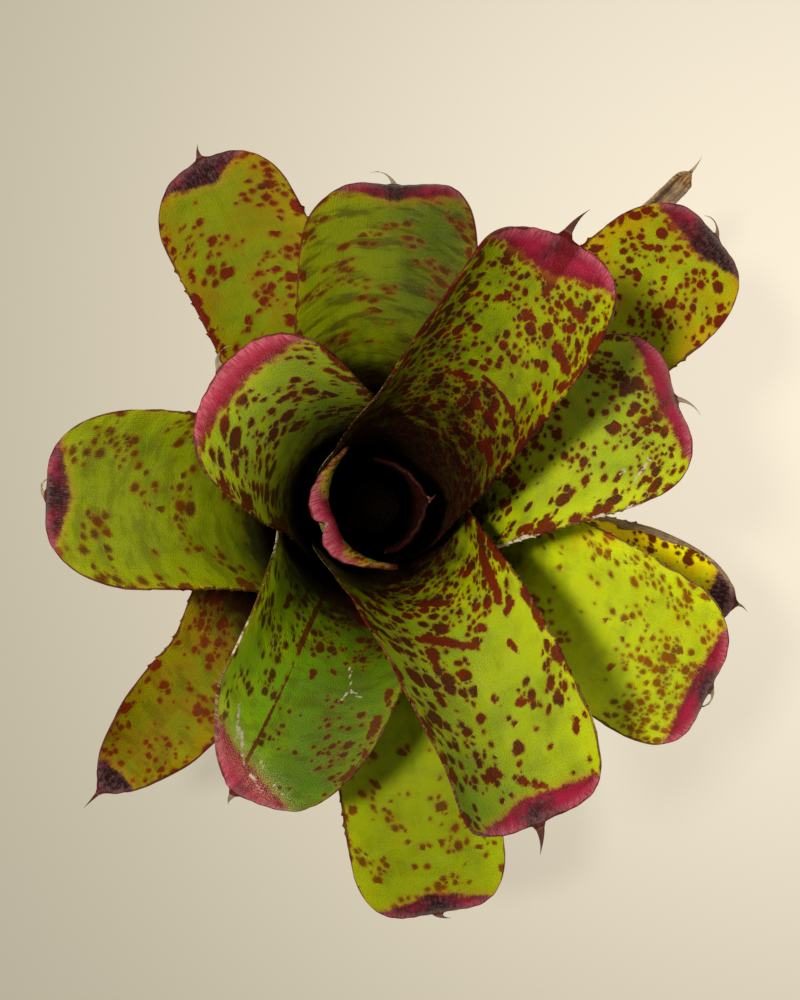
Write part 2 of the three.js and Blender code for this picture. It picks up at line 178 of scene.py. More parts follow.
# In the order of LEAVES.
LOOKS = [
    # Leaf 01 is the inner wall of the tube: its low tone and a cup reaching past its end darken it all
    # over, painted shade of the deep tube.
    Look(0.5, 0.16, 0.5, 2, 0.95, -0.6, cup=4, eye=0, awn=1),
    Look(0.25, 0.4, 0.75, 1.6, 0.1, 0.5, peak=4, cup=0.8, eye=0.2, awn=0.4, shape=0.4),
    Look(0.4, 0.75, 0.64, 5.6, 0.2, 0.25, tilt=3, peak=1.4, eye=0.6, cup=1.12, painted_side_shade=0.8, painted_shade_darkness=0,
         awn=0.9,
         marks=[(0, -1, 5, -1.6, 2.1), (5, -1.6, 10, -2.6, 1.2), (28, -2, 28.6, -7, 0.4),
                (28.6, -7, 31, -15, 0.5), (16, -10, 18, -14, 1.1), (14, 2.5, 14, 2.4, 1),
                (15, -2, 14.6, -3.2, 0.9), (4.5, -7.5, 4.6, -8.2, 1), (9.3, -9.3, 10.2, -11, 0.8),
                (33.5, -7, 34, -9.2, 1.2), (37.5, -10.5, 38.7, -13.5, 1.4),
                (30, 2.3, 29.7, 0.3, 0.9)],
         patches=[(54, 0, 22, 0.5), (30, 14, 18, 0.5), (22, 2, 8, -0.35), (8, -12, 8, 0.3)]),
    Look(0.5, 0.97, 0.5, 5.2, 0.1, 0.4, size=1.25, tilt=-1.5, peak=1, awn=0.9, cup=0.62, painted_side_shade=-1,
         painted_shade_darkness=0.06,
         marks=[(46, 13, 38, 11, 1.4), (40, 6.4, 40, 6.8, 0.9), (35.5, 11, 36, 13.4, 0.8),
                (36, 5.4, 35.5, 5.8, 1), (30.7, 8.6, 28.6, 9.2, 0.6), (23.8, 1.6, 23.7, 1.9, 0.8),
                (21, 5.4, 20.5, 7, 0.8), (13.7, 13.8, 12, 13, 0.8), (9.4, 0.2, 8, 0.8, 0.9),
                (7, 2.4, 6, 3.8, 0.8), (13, -4.2, 11.5, -3, 0.8), (48, -2, 45, 2, 1.2),
                (39, -5, 34, 2.4, 1.2), (36, -5.5, 33, -6.2, 1.1)],
         patches=[(50, -2, 14, 0.5), (46, 12, 10, 0.35), (36, -10, 14, 0.3), (30, 6, 9, -0.3)]),
    Look(0.6, 1, 0.72, 4.6, 0.1, 0.5, shape=1.6, size=1.25, eye=0.35, cup=0.8, painted_side_shade=-0.5,
         painted_shade_darkness=0.4,
         patches=[(8, -12, 12, 0.2), (14, 13, 12, 0.25), (22, 0, 12, -0.2)]),
    Look(0.5, 1.08, 0.66, 5.6, 0.02, 0.5, size=1.1, tilt=1.5, eye=0.5, cup=0.68, painted_side_shade=0.3,
         dry=[(-1, 12, 26, 0.3, 1), (-1, 30, 46, 0.5, 1)],
         scars=[(11, -9, 15, -12, 0.5), (16, -9.5, 17, -10, 0.5)]),
    Look(0.85, 1.7, 0.2, 7, 0.2, 0.3, size=0.75, soft=1.7, strength=0.9, tilt=-10, eye=0.4,
         frost=1.5, cup=0.65, bars=0.4, painted_side_shade=0.7, painted_shade_darkness=0.9,
         marks=[(8, -2.2, 30, -2.6, 0.45), (30, -2.6, 58, -2.5, 0.6), (38, -9, 35, -9.5, 0.9),
                (28, 2, 27, 2.2, 0.8), (50, 4, 44, 7, 1.6), (34, 1, 33.6, 1.3, 0.7),
                (30, 5.5, 29.8, 6, 0.6), (24.2, 17.3, 20.7, 17.3, 1),
                (14.4, 17.2, 12.4, 16.6, 0.8), (29.9, 17.2, 28, 17.3, 0.8),
                (18, 18, 16.5, 18, 0.7)],
         patches=[(52, 7, 15, 0.6), (14, 15, 7, 0.5), (30, -14, 12, 0.3)],
         # The pale strips along its margin are a painted highlight, drawn as pale dried margin.
         dry=[(-1, 20, 33, 0.3, 1), (-1, 35, 46, 0.45, 1)],
         scars=[(33, 8, 28, 10, 0.4), (28, 10, 25, 9, 0.4), (28, 10, 27, 13, 0.4),
                (17, -9.6, 11, -6.4, 0.5), (13, -6.5, 7, -2, 0.5), (6, 0, 3, 4, 0.5),
                (9, 0.5, 6.5, 3, 0.35), (5.5, 5, 4, 8, 0.35)]),
    Look(0.38, 0.48, 0.38, 5, 0.45, 0.2, soft=2, strength=0.85, heat=0.75, shape=2, peak=0.8,
         bars=0.8, cup=0.75, painted_side_shade=-1, painted_shade_darkness=0.45),
    Look(0.36, 1.2, 0.32, 6.2, 0.18, 0.4, size=0.85, soft=1.8, strength=0.85, heat=1.7, cup=0.6,
         fade=-0.1,
         patches=[(10, 6, 13, 0.35), (4, -14, 12, 0.45)]),
    Look(0.5, 0.6, 0.28, 5, 0.55, 0.25, soft=2.2, strength=0.85, heat=0.8, shape=1.2, peak=1.8,
         bars=0.4,
         patches=[(30, -16, 12, 0.25), (20, 15, 12, 0.2)]),
    Look(0.2, 0.78, 0.6, 6.2, 0.78, 0.2, size=1.05, heat=1.1, tilt=2.5, peak=1.4, fade=-0.42,
         awn=0.4),
    Look(0.42, 0.64, 0.26, 4.6, 0.5, 0.2, soft=1.8, strength=0.85, peak=1.6, awn=0.7, cup=0.5,
         patches=[(8, 0, 14, 0.25)]),
    Look(0.2, 0.48, 0.52, 4, 0.7, 0.15, soft=1.7, shape=1.3, size=1.15, peak=2.6, tilt=1, awn=0.9),
    Look(0.14, 1.75, 0.55, 7, 0.95, 0.2,
         dry=[(1, 0, 90, 1.5, 0.15)]),
    Look(0.12, 0.44, 0.5, 7, 0.95, 0.1, soft=1.5, strength=0.9, size=1.1, bars=0.4, awn=1),
    Look(0.35, 1, 0, 0, 0.3, 0.25,
         dry=[(0, -20, 300, 99, 0), (0, 2, 300, 99, 0.15)]),
]

# ---- helpers


def smooth(x):
    """0 to 1 as x goes from 0 to 1, level at both ends."""
    share = np.clip(x, 0, 1)
    return share * share * (3 - 2 * share)


def lerp(a, b, share):
    """From a to b as share goes from 0 to 1."""
    return a + (b - a) * share


def bump(x, width):
    """A smooth hump: 1 where x is 0, falling off over the width to both sides."""
    return np.exp(-((x / width) ** 2))


def wobble(x, y, seed):
    """Smooth seeded noise, about -1 to 1, at each of some places."""
    return np.array([noise.noise(Vector((a, b, seed * 9.7))) for a, b in np.broadcast(x, y)])


def bezier(points, steps):
    """Points along the curve that four control points draw."""
    p0, p1, p2, p3 = (np.array(p) for p in points)
    t = np.linspace(0, 1, steps)[:, None]
    return (1 - t) ** 3 * p0 + 3 * (1 - t) ** 2 * t * p1 + 3 * (1 - t) * t**2 * p2 + t**3 * p3


# ---- a leaf's middle surface


class LeafShape(Form):
    """The middle surface of a leaf: where a point lies at s mm along it and v, -1 to 1, across it."""

    STEPS = 300  # points on each of the two curves of its line

    def __init__(self, order):
        self.order = order
        self.__dict__.update(vars(LEAVES[order]))
        height = GROWTH_TOP - GROWTH_STEP * order
        stem_radius = np.interp(height, *zip(*STEM_OUTLINE))
        root = np.array((stem_radius + ROOT_GAP, height))
        belly = np.array((TUBE_RADIUS + SHEATH_PITCH * order, BELLY_TOP - BELLY_STEP * order))
        flare = SHEATH_FLARE * (belly[0] - root[0])
        upright = SHEATH_UPRIGHT * (belly[1] - root[1])
        end = np.array((self.reach, self.top))
        slope = math.radians(self.slope)
        heading = np.array((math.cos(slope), math.sin(slope)))
        sheath = bezier(
            [root, root + (flare, flare * math.tan(SHEATH_RISE)), belly - (0, upright), belly],
            self.STEPS,
        )
        blade = bezier([belly, belly + (0, self.rise), end - self.run * heading, end], self.STEPS)
        self.line = np.concatenate([sheath, blade[1:]])
        steps = np.linalg.norm(np.diff(self.line, axis=0), axis=1)
        self.distance = np.concatenate([[0], np.cumsum(steps)])
        self.direction = np.gradient(self.line, self.distance, axis=0)
        self.length = self.distance[-1]
        self.sheath_length = self.distance[self.STEPS - 1]
        self.blade_length = self.length - self.sheath_length
        self.blade_end = self.length - self.end
        self.belly_radius = belly[0]

    def up_blade(self, s):
        """The share of the blade that lies below s."""
        return (s - self.sheath_length) / self.blade_length

    def rounding(self, v):
        """How much sooner than its middle the rounded end ends at v."""
        reach = np.abs(v).clip(0, 1) ** self.square
        return self.end * (1 - (1 - reach) ** (1 / self.square))

    def slant(self, v):
        """How much sooner than its middle a skewed end ends at v."""
        return self.skew * v * (1 - v**4)

    def half_width(self, s):
        """Half the leaf's width at s, measured round its trough."""
        radius = np.interp(s, self.distance, self.line[:, 0])
        wrap = np.minimum(SHEATH_HALF_WIDTH, SHEATH_HALF_ANGLE * radius)
        share = (self.up_blade(s) - NARROW_FROM) / (NARROW_BY - NARROW_FROM)
        return lerp(wrap, self.width / 2, smooth(share))

    def points(self, s, v, lift=0):
        """Points in mm. lift moves them towards the leaf's upper side."""
        fold = self.length - self.curl - self.notch * (1 - smooth(2 * np.abs(v)))
        at = np.minimum(s, fold)
        radius, height = (np.interp(at, self.distance, self.line[:, k]) for k in (0, 1))
        outwards, upwards = (np.interp(at, self.distance, self.direction[:, k]) for k in (0, 1))
        u = np.clip(self.up_blade(at), 0, 1)
        turn = np.radians(self.turn + self.sweep * u**2)
        level = np.stack([np.cos(turn), np.sin(turn), 0 * turn], 1)
        across = level[:, [1, 0, 2]] * (-1, 1, 1)
        up = np.array((0, 0, 1))
        centre = level * radius[:, None] + up * height[:, None]
        tangent = level * outwards[:, None] + up * upwards[:, None]
        tangent /= np.linalg.norm(tangent, axis=1)[:, None]
        upper = np.cross(tangent, across)
        roll = math.radians(self.roll) * smooth(u / ROLL_BY)[:, None]
        cos, sin = np.cos(roll), np.sin(roll)
        across, upper = across * cos + upper * sin, upper * cos - across * sin

        half = self.half_width(s)
        trough = lerp(self.belly_radius, self.trough, smooth(u / FLATTEN_BY))
        angle = (v * half / trough)[:, None]
        trough = trough[:, None]
        inwards = upper * np.cos(angle) - across * np.sin(angle)
        blade = centre + across * trough * np.sin(angle) + upper * trough * (1 - np.cos(angle))
        over = np.maximum(0, s - fold)[:, None]
        bend = max(LEAST_HOOK, math.radians(self.hook)) / (self.curl + self.notch)
        blade += tangent * np.sin(bend * over) / bend - upper * (1 - np.cos(bend * over)) / bend

        round_axis = turn + v * half / radius
        sheath = np.stack([radius * np.cos(round_axis), radius * np.sin(round_axis), height], 1)
        in_sheath = (s < self.sheath_length)[:, None]
        return np.where(in_sheath, sheath, blade + inwards * np.reshape(lift, (-1, 1)))


# ---- a leaf's mesh

COLUMNS = 64  # faces across a leaf
SHEATH_ROW = 1.5  # mm between rows on the sheath
END_ROW = 0.5  # and on the narrowing end
TOOTH_ROWS = [0, 0.22, 0.44, TOOTH_START, 0.82, TOOTH_POINT]  # where in a tooth's pitch rows lie
EDGE_PULL = [1, 0.4, 0.1]  # how far the outermost columns go out with a tooth, from the edge
EDGE_THICKNESS = [(0.4, 0.3), (0.55, 0.2), (0.62, 0)]  # of those columns, and what a tooth takes off
EVEN_SPACING = 0.55  # of the columns; the rest of it draws them together towards the margins
SPINE_RINGS = 9
SPINE_RING = 0.02  # from ring to ring in the flat pattern
SPINE_COLUMNS = 2.5  # how far the spine's root reaches to each side
NIB = 0.9  # mm that the end is drawn out towards its spine
TINY = 1e-6

# The relief of the blade: heights and wavelengths in mm.
WAVE, WAVE_LONG, WAVE_WIDE = 0.45, 13, 11
RUFFLE, RUFFLE_LONG = 0.5, 8
BAR, BAR_LONG, BAR_WIDE = 0.09, 9, 12
MIDRIB_DEPTH, MIDRIB_WIDTH = 0.16, 0.55
PLEAT, PLEAT_START = 0.13, 8
CREASE_WIDTH, CREASE_START = 2.2, 14


def leaf_rows(shape):
    """Distances along the leaf of its rows of points, and the pitch of its teeth."""
    sheath = np.arange(0, shape.sheath_length - SHEATH_ROW / 2, SHEATH_ROW)
    usual = TOOTH_PITCH + TOOTH_PITCH_STEP * shape.order
    teeth = max(3, round((shape.blade_end - shape.sheath_length) / usual))
    pitch = (shape.blade_end - shape.sheath_length) / teeth
    blade = [shape.sheath_length + pitch * (i + share) for i in range(teeth) for share in TOOTH_ROWS]
    end = np.linspace(shape.blade_end, shape.length, round(shape.end / END_ROW) + 1)
    return np.concatenate([sheath, blade, end]), pitch


def flat_pattern(name, rows):
    """The leaf as a flat grid from -1 to 1, with its end spine drawn out of the far edge."""
    bpy.ops.mesh.primitive_grid_add(x_subdivisions=COLUMNS, y_subdivisions=rows - 1, size=2)
    leaf = bpy.context.object
    leaf.name = leaf.data.name = name
    bpy.ops.object.mode_set(mode="EDIT")
    bpy.ops.mesh.select_all(action="DESELECT")
    flat = bmesh.from_edit_mesh(leaf.data)
    strip = SPINE_COLUMNS * 2 / COLUMNS
    for vertex in flat.verts:
        vertex.select = vertex.co.y > 1 - 1e-4 and abs(vertex.co.x) < strip
    flat.select_flush(True)
    bmesh.update_edit_mesh(leaf.data)
    for ring in range(SPINE_RINGS):
        bpy.ops.mesh.extrude_edges_move(TRANSFORM_OT_translate={"value": (0, SPINE_RING, 0)})
    bpy.ops.object.mode_set(mode="OBJECT")
    return leaf


def read_points(mesh):
    """The places of a mesh's vertices."""
    points = np.empty(len(mesh.vertices) * 3, np.float32)
    mesh.vertices.foreach_get("co", points)
    return points.reshape(-1, 3).astype(float)


def write_points(mesh, points):
    """Moves a mesh's vertices to new places."""
    mesh.vertices.foreach_set("co", np.asarray(points, np.float32).ravel())
    mesh.update()


def tooth(share):
    """Height of a tooth, 0 to 1, at a share of its pitch."""
    rise = np.clip((share - TOOTH_START) / (TOOTH_POINT - TOOTH_START), 0, 1) ** 1.5
    return np.where(share > TOOTH_POINT, np.clip((1 - share) / (1 - TOOTH_POINT), 0, 1), rise)


class LeafPlaces:
    """Where each vertex of the flat pattern lies: s mm along the leaf and v across it."""

    def __init__(self, shape, flat):
        rows, pitch = leaf_rows(shape)
        self.last = len(rows) - 1
        x, y = -flat[:, 0], flat[:, 1]
        self.ring = np.round((y - 1) / SPINE_RING).clip(0)
        self.row = ((y.clip(-1, 1) + 1) / 2 * self.last).round().astype(int)
        at = rows[self.row]
        v = lerp(x, np.sin(x * math.pi / 2), 1 - EVEN_SPACING)
        s = at - self.set_back(shape, at, v)

        # Teeth: the outer columns are drawn outwards, and the point forwards.
        self.from_edge = ((1 - np.abs(x)) * COLUMNS / 2).round()
        self.tooth = self.teeth(shape, at, v, pitch)
        self.half = shape.half_width(s)
        pull = np.select([self.from_edge == k for k in (0, 1, 2)], EDGE_PULL, 0) * self.tooth
        self.v = v * (1 + pull * TOOTH_HEIGHT / self.half)
        nib = NIB * bump(v * self.half, 1.5) * smooth((at - shape.length + 4) / 4)
        self.s = s + pull * TOOTH_LEAN + nib * (shape.spine > 2)

        self.across = self.v * self.half
        self.from_end = shape.length - self.s
        to_end = self.from_end - shape.rounding(self.v) - shape.slant(self.v)
        self.margin = np.minimum(self.half - np.abs(v * self.half), to_end.clip(0))

    def set_back(self, shape, at, v):
        """The rows bow back towards the margins, so that the last one follows the rounded end."""
        cleft = shape.cleft * bump(v * shape.width, 2.2)
        share = ((at - shape.blade_end + shape.end) / (2 * shape.end)).clip(0, 1)
        return (shape.rounding(v) + shape.slant(v) + cleft) * share**2

    def teeth(self, shape, at, v, pitch):
        """How far up a tooth, 0 to 1, each row stands. The teeth differ a little in size."""
        steps = (at - shape.sheath_length) / pitch + TINY
        toothed = (at >= shape.sheath_length - TINY) & (at <= shape.blade_end)
        side_seed = np.where(v > 0, 3, 7) + shape.order
        sizes = 0.85 + 0.3 * np.sin(np.floor(steps) * 2.4 + side_seed * 1.9)
        return np.where(toothed, tooth(steps % 1) * sizes, 0)


def lift_of(shape, places):
    """How far the blade's surface stands off its even form, towards its upper side."""
    s, across, from_end = places.s, places.across, places.from_end
    grown = smooth((shape.up_blade(s) - 0.12) / 0.3)
    waves = WAVE * wobble(s / WAVE_LONG, across / WAVE_WIDE, shape.order + 1)
    sides = wobble(s / RUFFLE_LONG, np.sign(places.v) * 3, shape.order + 40)
    ruffle = RUFFLE * sides * np.abs(places.v) ** 3
    faint = wobble(s / BAR_LONG, across / BAR_WIDE, shape.order + 80)
    bars = BAR * np.sin(s * 1.5 + 1.5 * waves) * faint
    midrib = -MIDRIB_DEPTH * bump(across, MIDRIB_WIDTH)
    crossing = 2.4 * across + 4 * waves + 0.5 * s
    pleats = PLEAT * shape.pleats * np.sin(crossing) * smooth((PLEAT_START - from_end) / 6)
    crease = shape.keel * bump(across, CREASE_WIDTH) * smooth((CREASE_START - from_end) / 10)
    return grown * (waves + ruffle + bars + midrib + pleats + crease)


def spine_points(shape, points, places):
    """The end spine: its rings narrow along a line that bends sideways by the crook, and up."""
    in_middle = np.abs(places.v) < 1e-4
    on_end = (places.ring == 0) & (places.row == places.last)
    end = points[on_end & in_middle][0]
    before = points[(places.row == places.last - 3) & in_middle][0]
    beside = points[on_end & (np.abs(places.v - 0.08) < 0.05)][0]
    heading = (end - before) / np.linalg.norm(end - before)
    normal = np.cross(heading, beside - end)
    normal /= np.linalg.norm(normal)
    side = np.cross(normal, heading)
    centre = end.copy()
    for ring in range(1, SPINE_RINGS + 1):
        share = ring / SPINE_RINGS
        bend = math.radians(shape.crook) * (share - 0.5 / SPINE_RINGS)
        rearing = math.radians(shape.rear) * min(1, 2 * share)
        onward = heading * math.cos(rearing) + normal * math.sin(rearing)
        centre += (onward * math.cos(bend) + side * math.sin(bend)) * shape.spine / SPINE_RINGS
        here = places.ring == ring
        spread = (points[here] - end) @ side
        width = (1 - share) ** 1.4 * shape.stout + 0.02
        points[here] = centre + np.outer(spread * width, side)
    return points


def thickness_weights(places):
    """Each vertex's thickness as a share of the middle one: thin at the margins, teeth and end."""
    thick = lerp(1, 0.68, places.v.clip(-1, 1) ** 2)
    for column, (thickness, less) in enumerate(EDGE_THICKNESS):
        thick = np.where(places.from_edge == column, thickness - less * places.tooth, thick)
    thick *= lerp(0.6, 1, smooth(places.from_end / 2))
    share = places.ring / SPINE_RINGS
    return np.where(places.ring > 0, lerp(0.8, 0.08, share**0.7), thick)


def thicken(leaf, weights):
    """Turns the leaf's middle surface into a shell. Its lower side gets the second skin."""
    group = leaf.vertex_groups.new(name="thickness")
    for index, weight in enumerate(weights):
        group.add([index], float(weight), "REPLACE")
    shell = leaf.modifiers.new("shell", "SOLIDIFY")
    shell.thickness = MID_THICKNESS * MM
    shell.offset = 0
    shell.vertex_group = group.name
    shell.material_offset = 1
    bpy.ops.object.modifier_apply(modifier=shell.name)
    leaf.vertex_groups.clear()


def build_leaf(order, upper_skin, under_skin):
    """A fine leaf from its flat pattern: laid on the leaf's surface, marked, then thickened."""
    shape = LeafShape(order)
    leaf = flat_pattern(f"blade_{order + 1:02d}", len(leaf_rows(shape)[0]))
    places = LeafPlaces(shape, read_points(leaf.data))
    points = shape.points(places.s, places.v, lift_of(shape, places))
    write_points(leaf.data, spine_points(shape, points, places) * MM)
    mark_leaf(leaf, shape, places)
    leaf.data.materials.append(upper_skin)
    leaf.data.materials.append(under_skin)
    thicken(leaf, thickness_weights(places))
    bpy.ops.object.shade_smooth()
    return leaf


# ---- where the markings lie

FAR = 9.0  # mm, further than any rim is looked for
PEAK_WIDTH = 5  # of the longer middle of the coloured end
EYE_LENGTH, EYE_WIDTH = 6, 4.5  # of the dark middle of the end
EDGE_WIDTH = 8  # over which the margins are lighter and more golden
SPINE_PALENESS = 0.45
APART = 61.0  # mm between the leaves' patterns, so that no two are alike


def margin_spots(shape, look):
    """Seeded spots along both margins as (along, across, radius)."""
    draw = random.Random(100 + shape.order)
    blade = shape.length - shape.sheath_length
    spots = []
    for side in (-1, 1):
        for spot in range(int(blade * look.spots * 0.5)):
            along = shape.length - draw.uniform(0, blade)
            across = side * (shape.width / 2 - abs(draw.gauss(0, 0.9)))
            spots.append((along, across, look.size * draw.uniform(0.4, 1.1)))
    return spots


def stroke_field(shape, places, strokes):
    """Distance in mm to the rim of the nearest of some tapering strokes, negative inside."""
    field = np.full(len(places.s), FAR)
    for end_a, across_a, end_b, across_b, radius in strokes:
        start = np.array((shape.length - end_a, across_a), float)
        way = np.array((shape.length - end_b, across_b), float) - start
        offset = np.stack([places.s, places.across], 1) - start
        share = np.clip(offset @ way / max(way @ way, 1e-9), 0, 1)
        distance = np.linalg.norm(offset - share[:, None] * way, axis=1) - radius * (1 - 0.4 * share)
        field = np.minimum(field, distance * max(1, 0.9 / radius))
    return field


def spot_field(shape, look, places):
    """Distance in mm to the nearest spot or mark's rim, negative inside."""
    along, across = places.s, places.across
    field = np.full(len(along), FAR)
    for spot_along, spot_across, radius in margin_spots(shape, look):
        distance = np.hypot((along - spot_along) / 1.2, across - spot_across) - radius
        field = np.minimum(field, distance)
    return np.minimum(field, stroke_field(shape, places, look.marks))


def spot_crowd(look, places):
    """How many of the places for a spot hold one, 0 to 1."""
    crowd = np.full(len(places.s), float(look.spots))
    for from_end, across, reach, more in look.patches:
        crowd += more * bump(np.hypot(places.from_end - from_end, places.across - across), reach)
    return crowd


def store(mesh, name, *columns):
    """Keeps three numbers for each vertex, for the finishes to read."""
    values = np.stack([np.broadcast_to(column, len(mesh.vertices)) for column in columns], 1)
    layer = mesh.attributes.new(name, "FLOAT_VECTOR", "POINT")
    layer.data.foreach_set("vector", values.astype(np.float32).ravel())


def coloured_end(look, places):
    """How deep in the coloured end each vertex lies, in mm, how far in its eye, and how black."""
    middle = look.peak * bump(places.across, PEAK_WIDTH)
    band = look.band + look.tilt * places.v + middle - places.from_end
    eye = look.eye * bump(places.from_end, EYE_LENGTH) * bump(places.across, EYE_WIDTH)
    dark = look.age + look.fade * places.v + (1.1 - look.age) * eye
    return band, eye, dark


def dried_parts(shape, look, places):
    """How dry and how pale each vertex is: the end spine, dried margins and scratches."""
    in_spine = places.ring > 0
    dry = np.where(in_spine, 1.0, 0.0)
    paleness = np.where(in_spine, SPINE_PALENESS, 0.0)
    for side, start, stop, width, pale in look.dry:
        inside = width - (places.margin if side else 0)
        ragged = wobble(places.s / 2.2, places.v * 2, shape.order + 60)
        along = smooth((places.from_end - start) / 3) * smooth((stop - places.from_end) / 3)
        here = smooth((inside + 0.9 * ragged) / 0.7 + 0.5) * along * (places.v * side >= 0)
        here *= 1 - 0.35 * pale
        dry = np.maximum(dry, here)
        paleness = np.maximum(paleness, 1.4 * pale * here)
    scar = 0.6 * smooth(0.7 - stroke_field(shape, places, look.scars))
    return np.maximum(dry, scar), np.maximum(paleness, 1.6 * scar)


def mark_leaf(leaf, shape, places):
    """Stores the leaf's look at each vertex."""
    look = LOOKS[shape.order]
    s, across, in_spine = places.s, places.across, places.ring > 0
    band, eye, dark = coloured_end(look, places)
    cup = 1 - smooth(shape.up_blade(s) / look.cup)
    # Painted shade on one side of the leaf: greener, darker, and greyer with a painted sheen of down.
    painted_side_shade = abs(look.painted_side_shade) * smooth(0.5 + 0.9 * places.v * np.sign(look.painted_side_shade))
    scurf = look.scurf + 0.12 * eye + 0.1 * painted_side_shade - 0.25 * smooth(band / 2) - 0.9 * cup
    scurf = np.where(in_spine, -0.5, scurf + look.frost * bump(band - 1, 3))
    edge = 1 - smooth(places.margin / EDGE_WIDTH)
    green = look.green + 0.25 * painted_side_shade - 0.13 * edge
    # Lightness: the leaf's tone with its painted light and shade, darker on its painted shade side,
    # lighter towards the margins.
    tone = look.tone * (1 - look.painted_shade_darkness * painted_side_shade) * (0.93 + 0.25 * edge)
    aside = shape.order * APART
    wide = look.size * look.shape ** 0.5
    long = look.size / look.shape ** 0.5
    bowed = s + across**2 / 50
    mesh = leaf.data
    store(mesh, "place", across + aside, s, 0)
    store(mesh, "spot_place", across / wide + aside, bowed / long, 0)
    store(mesh, "spots", spot_crowd(look, places), look.strength, 1 / look.soft)
    store(mesh, "spot_tone", look.heat, 0, 0)
    store(mesh, "marks", spot_field(shape, look, places), band, places.margin)
    store(mesh, "tints", green, tone, look.bars)
    store(mesh, "shades", dark, cup, scurf)
    store(mesh, "dryness", *dried_parts(shape, look, places), in_spine * look.awn)


# ---- shader nodes


class Wire:
    """A socket of a finish. Arithmetic on it adds Math nodes."""

    def __init__(self, finish, socket):
        self.finish = finish
        self.socket = socket

    def maths(self, operation, *values):
        """A Math node on some numbers or wires."""
        return self.finish.node("Math", {"operation": operation}, dict(enumerate(values)))

    def __add__(self, other):
        return self.maths("ADD", self, other)

    def __sub__(self, other):
        return self.maths("SUBTRACT", self, other)

    def __rsub__(self, other):
        return self.maths("SUBTRACT", other, self)

    def __mul__(self, other):
        return self.maths("MULTIPLY", self, other)

    __radd__ = __add__
    __rmul__ = __mul__

    def at_least(self, other):
        return self.maths("MAXIMUM", self, other)

    def ramp(self, low, high):
        """0 to 1, smoothly, as this goes from low to high."""
        values = {"Value": self, "From Min": low, "From Max": high}
        return self.finish.node("MapRange", {"interpolation_type": "SMOOTHSTEP"}, values)


class Finish:
    """A material and the nodes it is made of."""

    def __init__(self, name):
        self.material = bpy.data.materials.new(name)
        self.material.use_nodes = True
        self.tree = self.material.node_tree
        self.tree.nodes.clear()

    def node(self, kind, settings=None, values=None, output=0):
        """A node with its settings, then the values or links of its sockets: one of its outputs."""
        made = self.tree.nodes.new("ShaderNode" + kind)
        for name, setting in (settings or {}).items():
            setattr(made, name, setting)
        for name, value in (values or {}).items():
            if isinstance(value, Wire):
                self.tree.links.new(value.socket, made.inputs[name])
            else:
                made.inputs[name].default_value = value
        return Wire(self, made.outputs[output])

    def mix(self, share, first, second):
        """From the first colour to the second as share goes from 0 to 1."""
        return self.node("Mix", {"data_type": "RGBA"}, {0: share, 6: first, 7: second}, 2)

    def vectors(self, operation, values, output=0):
        return self.node("VectorMath", {"operation": operation}, values, output)

    def shade(self, colour, amount):
        return self.vectors("SCALE", {0: colour, 3: amount})

    def stretch(self, vector, factors):
        return self.vectors("MULTIPLY", {0: vector, 1: factors})

    def parts(self, vector):
        """The three numbers of a vector."""
        made = self.node("SeparateXYZ", None, {0: vector}).socket.node
        return [Wire(self, output) for output in made.outputs]

    def stored(self, name):
        """What mark_leaf stored under a name."""
        return self.node("Attribute", {"attribute_name": name}, None, 1)

    def place_in_object(self):
        return self.node("TexCoord", None, None, 3)

    def in_mm(self, factors=(1000, 1000, 1000)):
        """The place in the object, in millimetres."""
        return self.stretch(self.place_in_object(), factors)

    def noise(self, vector, scale, detail=2, roughness=0.5, output=0):
        values = {"Vector": vector, "Scale": scale, "Detail": detail, "Roughness": roughness}
        return self.node("TexNoise", None, values, output)

    def cells(self, vector, scale, disorder=1):
        """Flat cells: the distance to a cell's point, its own random colour, and the point's place."""
        values = {"Vector": vector, "Scale": scale, "Randomness": disorder}
        cells = self.node("TexVoronoi", {"voronoi_dimensions": "2D"}, values).socket.node
        return [Wire(self, cells.outputs[name]) for name in ("Distance", "Color", "Position")]

    def close(self, colour, roughness, height, bump, **constants):
        """The surface itself. height, in units of bump metres, gives the fine relief."""
        normal = self.node("Bump", None, {"Height": height, "Distance": bump})
        values = {"Base Color": colour, "Roughness": roughness, "Normal": normal}
        values.update({name.replace("_", " "): value for name, value in constants.items()})
        surface = self.node("BsdfPrincipled", None, values)
        output = self.tree.nodes.new("ShaderNodeOutputMaterial")
        self.tree.links.new(surface.socket, output.inputs["Surface"])
        return self.material


def tint(red, green, blue):
    """A colour given as on screen, 0 to 255, as the linear light that the shader takes."""
    levels = [c / 255 for c in (red, green, blue)]
    return (*(c / 12.92 if c <= 0.04045 else ((c + 0.055) / 1.055) ** 2.4 for c in levels), 1)


GOLD = tint(206, 176, 0)
YELLOW_GREEN = tint(192, 206, 0)
LEAF_GREEN = tint(96, 142, 4)
OLIVE = tint(124, 120, 4)
BAR_BROWN = tint(84, 48, 10)
SPOT_RED = tint(106, 7, 2)
SPOT_PURPLE = tint(66, 6, 12)
STROKE_RED = tint(114, 5, 9)
HALO = tint(150, 78, 4)
MAGENTA = tint(176, 32, 68)
CRIMSON = tint(122, 9, 26)
PINK = tint(226, 134, 146)
PEACH = tint(204, 116, 48)
AMBER = tint(190, 116, 8)
TIP_BLACK = tint(34, 12, 18)
TIP_GREY = tint(146, 98, 102)
AWN_RED = tint(92, 22, 38)
CUP_RED_AND_PAINTED_SHADE = tint(36, 8, 9)
SHEATH_PALE = tint(206, 200, 136)
MARGIN_RED = tint(92, 12, 18)
STRAW = tint(196, 156, 104)
BROWN = tint(104, 62, 34)
STAIN = tint(72, 36, 20)
PAPER_WHITE = tint(226, 212, 184)
SILVER = tint(206, 196, 150)


